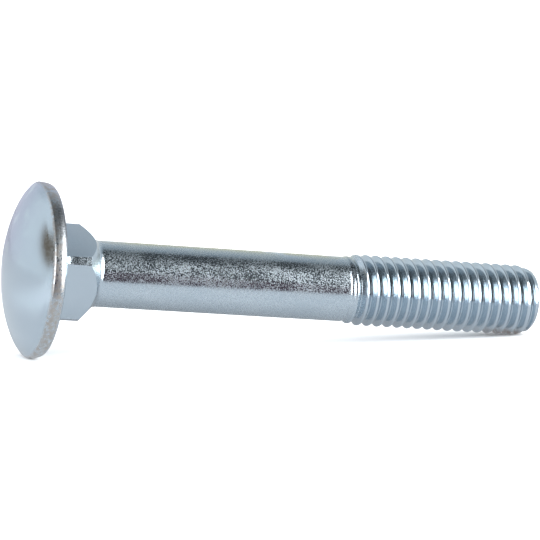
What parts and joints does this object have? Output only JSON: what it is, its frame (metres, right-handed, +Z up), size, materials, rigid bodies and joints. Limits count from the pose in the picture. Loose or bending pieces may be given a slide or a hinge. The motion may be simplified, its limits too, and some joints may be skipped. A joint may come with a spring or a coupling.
{
  "type": "carriage bolt",
  "caption": "Zinc plated steel carriage bolt with a mushroom head, square neck, plain shank and coarse right-hand thread, lying at rest.",
  "frame": {"origin": "on the bolt's axis, in the plane of the head's bearing face, where the square neck starts", "axes": "+Z up, +X along the bolt towards its threaded end, seen from above; the axis dips below +X by the tilt at which the bolt rests on its head's rim and its thread"},
  "size_m": [0.0753, 0.0234, 0.0235],
  "materials": {
    "zinc_plated_steel": "bright blue-white zinc plating over cold-drawn and forged steel, satin with fine speckle"
  },
  "bodies": {
    "root": {"carriage_bolt": "zinc_plated_steel"}
  },
  "joints": []
}
